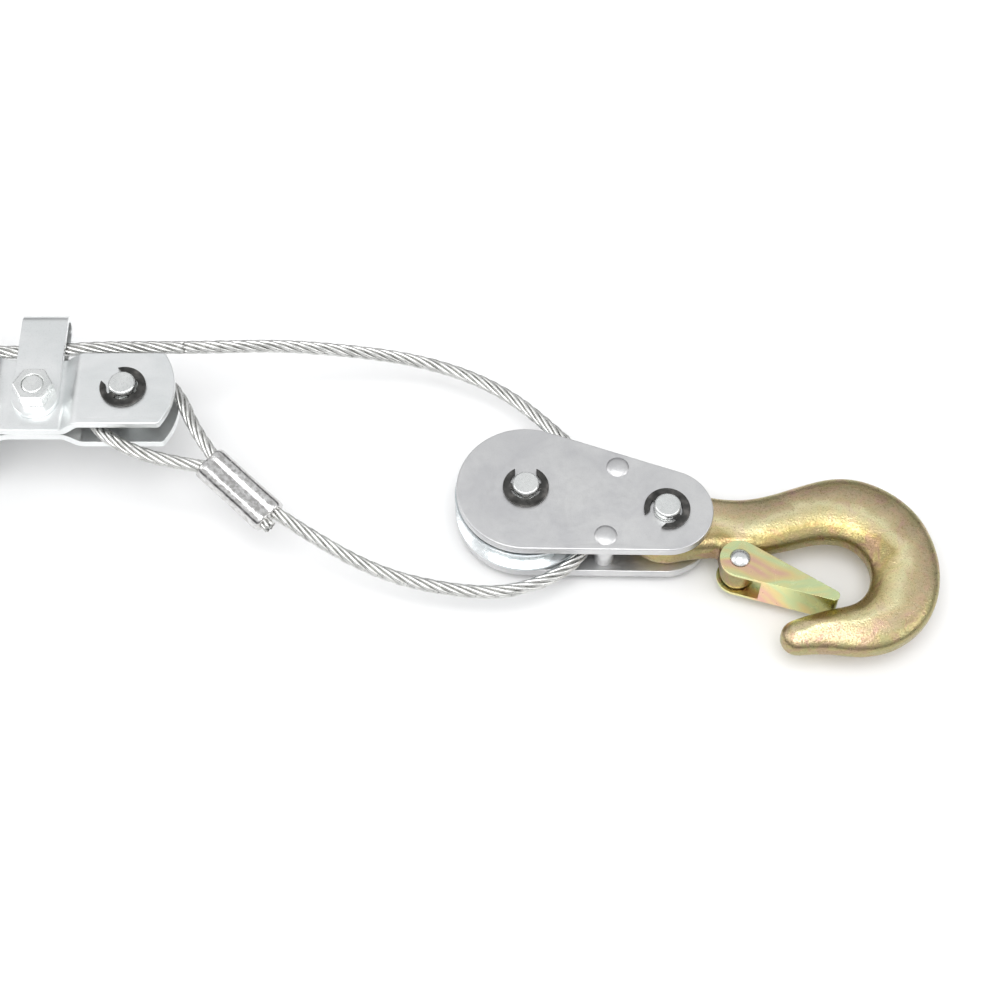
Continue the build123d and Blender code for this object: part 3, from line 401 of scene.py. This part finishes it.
def strandTree(material):
    tree = bpy.data.node_groups.new("layRope", "GeometryNodeTree")
    face = tree.interface
    face.new_socket("Geometry", in_out="INPUT", socket_type="NodeSocketGeometry")
    for name, kind in (("Strands", "NodeSocketInt"), ("Lay", "NodeSocketFloat"),
                       ("Circle", "NodeSocketFloat"), ("Strand Radius", "NodeSocketFloat"),
                       ("Phase", "NodeSocketFloat"), ("Wires", "NodeSocketInt"),
                       ("Wire Lay", "NodeSocketFloat"), ("Wire Depth", "NodeSocketFloat")):
        face.new_socket(name, in_out="INPUT", socket_type=kind)
    face.new_socket("Geometry", in_out="OUTPUT", socket_type="NodeSocketGeometry")
    nodes, links = tree.nodes, tree.links

    def node(kind, **settings):
        made = nodes.new(kind)
        for name, value in settings.items():
            setattr(made, name, value)
        return made

    def reckon(operation, first, second=None):
        made = node("ShaderNodeMath", operation=operation)
        for value, socket in ((first, made.inputs[0]), (second, made.inputs[1])):
            if value is None:
                continue
            if isinstance(value, (int, float)):
                socket.default_value = value
            else:
                links.new(value, socket)
        return made.outputs[0]

    def vector(operation, first, second=None, scale=None):
        made = node("ShaderNodeVectorMath", operation=operation)
        links.new(first, made.inputs[0])
        if second is not None:
            links.new(second, made.inputs[1])
        if scale is not None:
            links.new(scale, made.inputs["Scale"])
        return made.outputs["Value" if operation == "DISTANCE" else "Vector"]

    entry = node("NodeGroupInput")
    leave = node("NodeGroupOutput")
    toCurve = node("GeometryNodeMeshToCurve")
    links.new(entry.outputs["Geometry"], toCurve.inputs["Mesh"])
    place = node("GeometryNodeInputPosition")
    tangent = node("GeometryNodeInputTangent")
    normal = node("GeometryNodeInputNormal")
    along = node("GeometryNodeSplineParameter")
    keep = node("GeometryNodeCaptureAttribute", domain="POINT")
    for kind, name, source in (("VECTOR", "centre", place.outputs[0]),
                               ("VECTOR", "ahead", tangent.outputs[0]),
                               ("VECTOR", "out", normal.outputs[0]),
                               ("FLOAT", "along", along.outputs["Length"])):
        keep.capture_items.new(kind, name)
        links.new(source, keep.inputs[name])
    links.new(toCurve.outputs["Curve"], keep.inputs["Geometry"])
    copies = node("GeometryNodeDuplicateElements", domain="SPLINE")
    links.new(keep.outputs["Geometry"], copies.inputs["Geometry"])
    links.new(entry.outputs["Strands"], copies.inputs["Amount"])
    strandShare = reckon("DIVIDE", copies.outputs["Duplicate Index"], entry.outputs["Strands"])
    turns = reckon("ADD", reckon("DIVIDE", keep.outputs["along"], entry.outputs["Lay"]), strandShare)
    angle = reckon("MULTIPLY", reckon("ADD", turns, entry.outputs["Phase"]), 2 * math.pi)
    side = vector("CROSS_PRODUCT", keep.outputs["ahead"], keep.outputs["out"])
    circle = entry.outputs["Circle"]
    first = vector("SCALE", keep.outputs["out"], scale=reckon("MULTIPLY", reckon("COSINE", angle), circle))
    second = vector("SCALE", side, scale=reckon("MULTIPLY", reckon("SINE", angle), circle))
    move = node("GeometryNodeSetPosition")
    links.new(copies.outputs["Geometry"], move.inputs["Geometry"])
    links.new(vector("ADD", first, second), move.inputs["Offset"])
    twist = node("GeometryNodeSetCurveTilt")
    links.new(move.outputs["Geometry"], twist.inputs["Curve"])
    wireTurns = reckon("DIVIDE", keep.outputs["along"], entry.outputs["Wire Lay"])
    links.new(reckon("MULTIPLY", wireTurns, -2 * math.pi), twist.inputs["Tilt"])
    profile = node("GeometryNodeCurveStar")
    links.new(entry.outputs["Wires"], profile.inputs["Points"])
    links.new(entry.outputs["Strand Radius"], profile.inputs["Outer Radius"])
    lobe = reckon("SUBTRACT", 1.0, entry.outputs["Wire Depth"])
    links.new(reckon("MULTIPLY", entry.outputs["Strand Radius"], lobe), profile.inputs["Inner Radius"])
    sweep = node("GeometryNodeCurveToMesh")
    links.new(twist.outputs["Curve"], sweep.inputs["Curve"])
    links.new(profile.outputs["Curve"], sweep.inputs["Profile Curve"])
    sweep.inputs["Fill Caps"].default_value = True
    # painted shade: a value rising from the strand crests toward the rope's centre, which darkens the rope's
    # colour in the grooves between strands
    depth = node("GeometryNodeStoreNamedAttribute", data_type="FLOAT", domain="POINT")
    depth.inputs["Name"].default_value = "paintedGrooveShade"
    reach = reckon("ADD", entry.outputs["Circle"], entry.outputs["Strand Radius"])
    share = reckon("DIVIDE", vector("DISTANCE", place.outputs[0], keep.outputs["centre"]), reach)
    span = node("ShaderNodeMapRange")
    span.inputs["From Min"].default_value = 0.86
    span.inputs["From Max"].default_value = 0.45
    links.new(share, span.inputs["Value"])
    links.new(sweep.outputs["Mesh"], depth.inputs["Geometry"])
    links.new(span.outputs["Result"], depth.inputs["Value"])
    whole = node("GeometryNodeRealizeInstances")
    links.new(depth.outputs["Geometry"], whole.inputs["Geometry"])
    finish = node("GeometryNodeSetMaterial")
    finish.inputs["Material"].default_value = material
    links.new(whole.outputs["Geometry"], finish.inputs["Geometry"])
    links.new(finish.outputs["Geometry"], leave.inputs["Geometry"])
    return tree


def layRope(line, facts, name, phase=0.0, wires=None):
    # strands and a core swept along the line, then made plain; three strands fit across the rope
    strandRadius = facts["diameter"] / 6
    path = bpy.data.meshes.new(name)
    edges = [(index, index + 1) for index in range(len(line) - 1)]
    path.from_pydata([tuple(point) for point in line], edges, [])
    pieces = []
    for strands, circle in ((facts["strands"], facts["diameter"] / 2 - strandRadius), (1, 0.0)):
        holder = holderOf(path, name)
        lay = holder.modifiers.new("lay", "NODES")
        lay.node_group = ropeTree
        values = {"Strands": strands, "Lay": facts["lay"], "Circle": circle,
                  "Strand Radius": strandRadius * facts["strandSwell"], "Phase": phase,
                  "Wires": wires or facts["wires"], "Wire Lay": facts["wireLay"],
                  "Wire Depth": facts["wireDepth"]}
        for item in ropeTree.interface.items_tree:
            if item.in_out == "INPUT" and item.name in values:
                lay[item.identifier] = values[item.name]
        pieces.append(evaluatedMesh(holder))
    whole = bmesh.new()
    for piece in pieces:
        whole.from_mesh(piece)
    mesh = bpy.data.meshes.new(name)
    whole.to_mesh(mesh)
    whole.free()
    mesh.attributes.remove(mesh.attributes["sharp_edge"])
    shadeSmooth(mesh)
    return mesh


ropeTree = strandTree(finishes["rope"])


def makeRopes(facts):
    feedLine = smoothLine(feedRoute, "feedRoute")
    runLine = smoothLine(runRoute + [barrel(ferruleEnd, 1)], "runRoute")
    into = ferruleAxis * ferruleFacts["ropeEntry"]
    entry = np.array(barrel(ferruleEnd - into, 1))
    whole = evenLine(np.concatenate([feedLine, runLine[1:], [entry]]), facts["ringStep"])
    cut = int(np.argmax(whole[:, 0] > facts["cutAt"]))
    loopEntry = np.array(barrel(ferruleStart + into, 1))
    loopExit = np.array(barrel(ferruleStart + into, -1))
    route = [barrel(ferruleStart, 1)] + loopRoute + [barrel(ferruleStart, -1)]
    loopLine = np.concatenate([[loopEntry], smoothLine(route, "loopRoute"), [loopExit]])
    loop = evenLine(loopLine, facts["ringStep"])
    reach = ferruleFacts["ropeEntry"]
    stub = np.array([barrel(ferruleEnd + ferruleAxis * (reach * place - reach), -1)
                     for place in ferruleFacts["stub"]])
    feedMesh = layRope(whole[:cut + 1], facts, "ropeFeed")
    feed = addPiece("ropeFeed", feedMesh, "rope", None, ["rope_feed"])
    runMesh = layRope(whole[cut:], facts, "ropeRun", cut * facts["ringStep"] / facts["lay"])
    run = addPiece("ropeRun", runMesh, "rope", None, ["rope_run"])
    eyeMesh = layRope(loop, facts, "ropeEye")
    eye = addPiece("ropeEye", eyeMesh, "rope", "rope_eye", ["rope_eye_loop"])
    stubMesh = layRope(stub, facts, "ropeDeadEnd")
    addPiece("ropeDeadEnd", stubMesh, "rope", "rope_eye", ["rope_dead_end"])
    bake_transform(feed)
    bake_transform(run)


makeRopes(ropeFacts)
print("ropes made")


# lengths in metres, angles in degrees, the rest in turns of the drum
drumRope = {"coreRadius": 0.016, "halfWidth": 0.018, "nest": 0.0044, "ringStep": 0.0022, "wires": 6,
            "exitAngle": 99.7, "exitRadius": 0.0233, "secondTurns": 2.65, "tailTurns": 0.45,
            "tailSide": 0.00485, "turnGap": 0.0001, "turnSteps": 48, "climbTurns": 0.5, "riseTurns": 0.5}


def makeDrumWraps(facts, rope):
    # a full first layer, then a climb to the second one that leads to the feed
    middle = jointPlaces["drum_spin"][2]
    radius = rope["diameter"] / 2
    low = facts["coreRadius"] + radius
    pitch = rope["diameter"] + facts["turnGap"]
    layerTurns = (2 * facts["halfWidth"] - rope["diameter"]) / pitch
    total = layerTurns + facts["secondTurns"]
    steps = int(total * facts["turnSteps"])
    line = []
    for step in range(steps + 1):
        turn = total * step / steps
        angle = math.radians(facts["exitAngle"] + 360 * (total - turn))
        climb = clamped((turn - layerTurns + facts["climbTurns"] / 2) / facts["climbTurns"])
        rise = max(0, turn - total + facts["riseTurns"]) / facts["riseTurns"]
        distance = low + facts["nest"] * eased(climb) + (facts["exitRadius"] - low - facts["nest"]) * rise
        if turn < layerTurns:
            height = -facts["halfWidth"] + radius + turn * pitch
        else:
            # back over the first layer, then a last part turn to the middle, where the feed leaves
            share = min((turn - layerTurns) / (facts["secondTurns"] - facts["tailTurns"]), 1)
            height = (facts["halfWidth"] - radius) * (1 - share) + facts["tailSide"] * share
            tail = max(0, 1 - (total - turn) / facts["tailTurns"])
            height *= 1 - eased(tail)
        line.append((distance * math.cos(angle), distance * math.sin(angle), middle + height))
    line = evenLine(np.array(line), facts["ringStep"])
    mesh = layRope(line, rope, "drumWraps", wires=facts["wires"])
    addPiece("drumWraps", mesh, "rope", "drum", ["rope_on_drum"])


makeDrumWraps(drumRope, ropeFacts)
print("drum wraps made")


# ferrule: an oval sleeve pressed in a die, with a flash line along each narrow side
def makeFerrule(facts):
    sides = facts["sides"]
    length = (ferruleEnd - ferruleStart).length
    # places along the sleeve and the share of its full section at each
    stations = facts["mouth"] + [(length * place, share) for place, share in facts["body"]]
    stations += [(length - place, share) for place, share in reversed(facts["mouth"])]
    flat = (facts["width"] - facts["height"]) / 2
    radius = facts["height"] / 2
    up = ferruleAxis.cross(ferruleSide)
    verts = []
    for place, share in stations:
        for side in range(sides):
            angle = 2 * math.pi * side / sides
            flash = facts["flash"] * math.exp(-((abs(math.sin(angle))) / facts["flashReach"]) ** 2)
            x = math.copysign(flat, math.cos(angle)) if abs(math.cos(angle)) > 1e-6 else 0
            x = x * min(1, abs(math.cos(angle)) * facts["roundness"])
            x = x + (radius + flash) * math.cos(angle) * share
            y = radius * math.sin(angle) * share
            y *= 1 - facts["waist"] * math.exp(-((x / facts["waistReach"]) ** 2))
            x *= 1 if share >= 1 else 0.5 + 0.5 * share
            verts.append(ferruleStart + ferruleAxis * place + ferruleSide * x + up * y)
    faces = []
    for ring in range(len(stations) - 1):
        for side in range(sides):
            following = (side + 1) % sides
            faces.append((ring * sides + side, ring * sides + following, (ring + 1) * sides + following,
                          (ring + 1) * sides + side))
    faces.append(tuple(reversed(range(sides))))
    faces.append(tuple(range((len(stations) - 1) * sides, len(stations) * sides)))
    mesh = bpy.data.meshes.new("ferruleSleeve")
    mesh.from_pydata(verts, [], faces)
    shadeSmooth(mesh)
    work = bmesh.new()
    work.from_mesh(mesh)
    bmesh.ops.recalc_face_normals(work, faces=work.faces)
    work.to_mesh(mesh)
    work.free()
    addPiece("ferruleSleeve", mesh, "ferrule", "rope_eye", ["ferrule"])


makeFerrule(ferruleFacts)
print("ferrule made")


# hooks: forged, so the CAD shape is melted a little, crowned across its section and waved faintly
hookFacts = {"voxel": 0.0006, "smoothing": 6, "wave": 0.00014, "waveSize": 0.012, "edgeHalf": 0.0014,
             "edgeRound": 0.0044, "half": 0.0058, "crown": 0.0066, "reach": 0.0125, "neckStart": 0.021,
             "neckEnd": 0.036, "latchPivot": (0.0251, -0.018), "latchKeep": (0.0085, 0.0125),
             "bowl": (0.0585, -0.0212), "bowlReach": 0.024, "mouthEnd": 0.045,
             "mouthSide": (-0.03, -0.003), "wallBand": 0.0008, "wallLean": 0.35, "pinClear": 0.008,
             "pivotClear": 0.004, "innerPull": 1.25, "outerPull": 0.85}


def hookOutline(mesh, pin, direction, facts):
    # points along the side walls, split into those that face the bowl and those that face away
    inner, outer = [], []
    bowl = Vector(facts["bowl"])
    for vert in mesh.vertices:
        local = (vert.co - pin) * direction
        height = local.z * direction
        wall = abs(height) < facts["wallBand"] and abs(vert.normal.z) < facts["wallLean"]
        fromPivot = (local.xy - Vector(facts["latchPivot"])).length
        if not wall or local.xy.length < facts["pinClear"] or fromPivot < facts["pivotClear"]:
            continue
        facing = (vert.normal * direction).xy.normalized()
        toBowl = bowl - local.xy
        inBowl = facing.dot(toBowl.normalized()) > 0 and toBowl.length < facts["bowlReach"]
        low, high = facts["mouthSide"]
        inMouth = low < local.y < high and local.x < facts["mouthEnd"] and facing.y < 0
        (inner if inBowl or inMouth else outer).append(local.xy.to_3d())
    trees = []
    for points in (inner, outer):
        tree = kdtree.KDTree(len(points))
        for index, point in enumerate(points):
            tree.insert(point, index)
        tree.balance()
        trees.append(tree)
    return trees


def makeHook(node, name, joint, direction, facts):
    holder = holderOf(mergedCopy(node, name), name)
    melt = holder.modifiers.new("melt", "REMESH")
    melt.mode = "VOXEL"
    melt.voxel_size = facts["voxel"]
    melt.use_smooth_shade = True
    smooth = holder.modifiers.new("smooth", "SMOOTH")
    smooth.iterations = facts["smoothing"]
    mesh = evaluatedMesh(holder)
    pin = Vector(jointPlaces[joint])
    innerTree, outerTree = hookOutline(mesh, pin, direction, facts)
    places, across = [], []
    for vert in mesh.vertices:
        local = (vert.co - pin) * direction
        flat = local.xy.to_3d()
        toInner = innerTree.find(flat)[2]
        toOuter = outerTree.find(flat)[2]
        across.append(toInner / max(toInner + toOuter, 0.0001))
        near = min(toInner * facts["innerPull"], toOuter * facts["outerPull"])
        fillet = facts["edgeRound"] - min(near, facts["edgeRound"])
        before = facts["edgeHalf"] + math.sqrt(facts["edgeRound"] ** 2 - fillet ** 2)
        share = min(near / facts["reach"], 1)
        after = facts["edgeHalf"] + (facts["crown"] - facts["edgeHalf"]) * math.sqrt(1 - (1 - share) ** 2)
        neck = clamped((local.x - facts["neckStart"]) / (facts["neckEnd"] - facts["neckStart"]))
        keepStart, keepEnd = facts["latchKeep"]
        fromLatch = (local.xy - Vector(facts["latchPivot"])).length
        weight = eased(neck * clamped((fromLatch - keepStart) / (keepEnd - keepStart)))
        rise = (vert.co.z - pin.z) * (after / before - 1) * weight
        shift = noise.noise(vert.co / facts["waveSize"]) * facts["wave"]
        places.append(vert.co + vert.normal * shift + Vector((0, 0, rise)))
    for vert, place in zip(mesh.vertices, places):
        vert.co = place
    # the share across the section, from the inner wall to the outer, which the hook plating turns into a
    # painted crown highlight and painted edge shade
    mesh.attributes.new("outward", "FLOAT", "POINT").data.foreach_set("value", across)
    mesh.update()
    addPiece(name, mesh, "hook", node, [node])


makeHook("front_hook", "frontHookForging", "front_hook_swing", 1, hookFacts)
makeHook("rear_hook", "rearHookForging", "rear_hook_swing", -1, hookFacts)
print("hooks made")


# every other piece: its CAD node's shape, the broken edge in metres, its finish
metalPieces = {
    "frame": [
        ("frame_plate_top", 0.0004, "frame", "frame_zinc"),
        ("frame_plate_bottom", 0.0004, "frame", "frame_zinc"),
        ("rope_guide_strap", 0.0003, "frame", "strap_zinc"), ("strap_bolt", 0.0003, "pin", "fastener_zinc"),
        ("strap_nut", 0.0003, "pin", "fastener_zinc"), ("drum_axle_bolt", 0.0003, "pin", "fastener_zinc"),
        ("drum_axle_nut", 0.0003, "pin", "fastener_zinc"), ("drum_washers", 0.0001, "pin", "fastener_zinc"),
        ("handle_washers", 0.0001, "pin", "fastener_zinc"), ("nose_pin", 0.0002, "pin", "fastener_zinc"),
        ("nose_pin_clips", 0.0002, "clip", "clip_steel"), ("rear_hook_pin", 0.0002, "pin", "fastener_zinc"),
        ("rear_hook_pin_clips", 0.0002, "clip", "clip_steel"), ("hold_pawl_pin", 0.0, "pin", "fastener_zinc"),
        ("hold_pawl_spring", 0.0, "pin", "spring_steel")],
    "drum": [
        ("drum_core", 0.0002, "drum", "drum_zinc"), ("drum_bushes", 0.0002, "bush", "bush_bronze"),
        ("ratchet_wheel_top", 0.0003, "drum", "ratchet_zinc"),
        ("ratchet_wheel_bottom", 0.0003, "drum", "ratchet_zinc"),
        ("drum_dowels", 0.0002, "pin", "fastener_zinc")],
    "handle": [
        ("handle_arm_top", 0.0004, "frame", "handle_zinc"),
        ("handle_arm_bottom", 0.0004, "frame", "handle_zinc"),
        ("handle_tube", 0.0003, "frame", "handle_zinc"), ("handle_grip", 0.0005, "grip", "grip_rubber"),
        ("handle_rivets", 0.0, "pin", "fastener_zinc"), ("drive_pawl_pin", 0.0, "pin", "fastener_zinc"),
        ("drive_pawl_spring", 0.0, "pin", "spring_steel")],
    "hold_pawl": [("hold_pawl", 0.0003, "drum", "pawl_steel")],
    "drive_pawl": [("drive_pawl", 0.0003, "drum", "pawl_steel")],
    "block": [
        ("block_plate_front", 0.0, "block", "block_zinc"), ("block_plate_rear", 0.0, "block", "block_zinc"),
        ("sheave_pin", 0.0002, "pin", "fastener_zinc"),
        ("front_hook_pin", 0.0002, "pin", "fastener_zinc"), ("sheave_pin_clip", 0.0002, "clip", "clip_steel"),
        ("front_hook_pin_clip", 0.0002, "clip", "clip_steel")],
    "sheave": [("sheave", 0.0002, "sheave", "sheave_zinc"), ("sheave_bush", 0.0002, "bush", "bush_bronze")],
    "front_hook": [
        ("front_latch_rivet", 0.0, "pin", "fastener_zinc"),
        ("front_latch_spring", 0.0, "pin", "spring_steel")],
    "front_latch": [("front_latch", 0.0003, "latch", "latch_yellow_zinc")],
    "rear_hook": [
        ("rear_latch_rivet", 0.0, "pin", "fastener_zinc"),
        ("rear_latch_spring", 0.0, "pin", "spring_steel")],
    "rear_latch": [("rear_latch", 0.0003, "latch", "latch_yellow_zinc")],
}


# the two spacers, their ends hammered over into soft domes against the plates
spacerFacts = {"along": 0.031, "across": 0.0142, "tilt": -10.2, "sides": 48,
               "profile": [(0.0, 0.01095), (0.0016, 0.01088), (0.0030, 0.01062), (0.0040, 0.01020),
                           (0.0043, 0.00985), (0.0030, 0.0098), (0.0030, 0.0062), (0.0036, 0.0061),
                           (0.0036, 0.0)]}


def makeSpacers(facts):
    middle = Vector(jointPlaces["sheave_spin"])
    tilt = math.radians(facts["tilt"])
    along = Vector((math.cos(tilt), math.sin(tilt), 0))
    side = Vector((-math.sin(tilt), math.cos(tilt), 0))
    profile = facts["profile"] + [(radius, -height) for radius, height in reversed(facts["profile"][:-1])]
    verts, faces = [], []
    for way in (-1, 1):
        centre = middle + along * facts["along"] + side * (way * facts["across"])
        first = len(verts)
        for radius, height in profile[1:-1]:
            for step in range(facts["sides"]):
                angle = 2 * math.pi * step / facts["sides"]
                verts.append(centre + Vector((radius * math.cos(angle), radius * math.sin(angle), height)))
        rings = len(profile) - 2
        for ring in range(rings - 1):
            for step in range(facts["sides"]):
                following = (step + 1) % facts["sides"]
                low, high = first + ring * facts["sides"], first + (ring + 1) * facts["sides"]
                faces.append((low + step, high + step, high + following, low + following))
        top, bottom = len(verts), len(verts) + 1
        verts.append(centre + Vector((0, 0, profile[0][1])))
        verts.append(centre + Vector((0, 0, profile[-1][1])))
        last = first + (rings - 1) * facts["sides"]
        for step in range(facts["sides"]):
            following = (step + 1) % facts["sides"]
            faces.append((top, first + step, first + following))
            faces.append((bottom, last + following, last + step))
    mesh = bpy.data.meshes.new("blockSpacers")
    mesh.from_pydata(verts, [], faces)
    shadeSmooth(mesh)
    addPiece("blockSpacers", mesh, "block", "block", ["block_spacers"])


makeSpacers(spacerFacts)


def camelName(node):
    first, *others = node.split("_")
    return first + "".join(word.capitalize() for word in others)


for body, rows in metalPieces.items():
    for node, edge, finish, slot in rows:
        mesh = edgedCopy(node, camelName(node), edge)
        addPiece(camelName(node) + "Metal", mesh, finish, body, [node])
print("metal pieces made")


# the stage: a white table, soft light, and a darker side behind
stageSet = {"floor": 6.0, "floorColour": (0.93, 0.93, 0.93)}
lightSet = [
    {"name": "topSoftbox", "place": (0.15, -0.45, 1.5), "size": 1.1, "power": 13.0, "aim": (0.2, 0.0, 0.0)},
    {"name": "leftSoftbox", "place": (-1.0, 0.1, 0.9), "size": 0.8, "power": 3.2, "aim": (0.2, 0.0, 0.0)},
    {"name": "rightSoftbox", "place": (1.3, -0.3, 0.8), "size": 0.7, "power": 2.6, "aim": (0.2, 0.0, 0.0)},
]
# brightness of the room by height, then how much darker it gets toward the back
skySet = {"strength": 0.86, "low": (0.62, 0.62, 0.62), "middle": (1.0, 1.0, 1.0), "high": (0.84, 0.85, 0.86),
          "back": (0.90, 0.905, 0.91), "darkBand": (0.16, 0.16, 0.17)}


def makeStage(facts):
    half = facts["floor"] / 2
    mesh = bpy.data.meshes.new("tableTop")
    corners = [(-half, -half, 0), (half, -half, 0), (half, half, 0), (-half, half, 0)]
    mesh.from_pydata(corners, [], [(0, 1, 2, 3)])
    material, shader = startMaterial("tableWhite", 0.0, 0.75)
    shader.inputs["Base Color"].default_value = (*facts["floorColour"], 1)
    mesh.materials.append(material)
    floor = bpy.data.objects.new("tableTop", mesh)
    bpy.context.scene.collection.objects.link(floor)


def makeLights(rows):
    for row in rows:
        data = bpy.data.lights.new(row["name"], "AREA")
        data.size = row["size"]
        data.energy = row["power"]
        lamp = bpy.data.objects.new(row["name"], data)
        lamp.location = row["place"]
        lamp.rotation_mode = "QUATERNION"
        lamp.rotation_quaternion = (Vector(row["aim"]) - Vector(row["place"])).to_track_quat("-Z", "Y")
        bpy.context.scene.collection.objects.link(lamp)


def makeSky(facts):
    world = bpy.data.worlds.new("studioSky")
    bpy.context.scene.world = world
    world.use_nodes = True
    nodes, links = world.node_tree.nodes, world.node_tree.links
    place = nodes.new("ShaderNodeTexCoord")
    split = nodes.new("ShaderNodeSeparateXYZ")
    links.new(place.outputs["Generated"], split.inputs["Vector"])
    height = nodes.new("ShaderNodeValToRGB")
    stops = [(0.0, facts["low"]), (0.10, facts["darkBand"]), (0.30, facts["darkBand"]),
             (0.46, facts["middle"]), (1.0, facts["high"])]
    while len(height.color_ramp.elements) < len(stops):
        height.color_ramp.elements.new(0.5)
    for element, (spot, colour) in zip(height.color_ramp.elements, stops):
        element.position = spot
        element.color = (*colour, 1)
    links.new(split.outputs["Z"], height.inputs["Fac"])
    depth = nodes.new("ShaderNodeMapRange")
    depth.inputs["From Min"].default_value = 0.1
    depth.inputs["From Max"].default_value = 0.9
    links.new(split.outputs["Y"], depth.inputs["Value"])
    mix = nodes.new("ShaderNodeMix")
    mix.data_type = "RGBA"
    mix.blend_type = "MULTIPLY"
    links.new(depth.outputs["Result"], mix.inputs["Factor"])
    links.new(height.outputs["Color"], mix.inputs["A"])
    mix.inputs["B"].default_value = (*facts["back"], 1)
    links.new(mix.outputs["Result"], nodes["Background"].inputs["Color"])
    nodes["Background"].inputs["Strength"].default_value = facts["strength"]


makeStage(stageSet)
makeLights(lightSet)
makeSky(skySet)
bpy.context.scene.view_settings.view_transform = "Standard"
print("stage made")
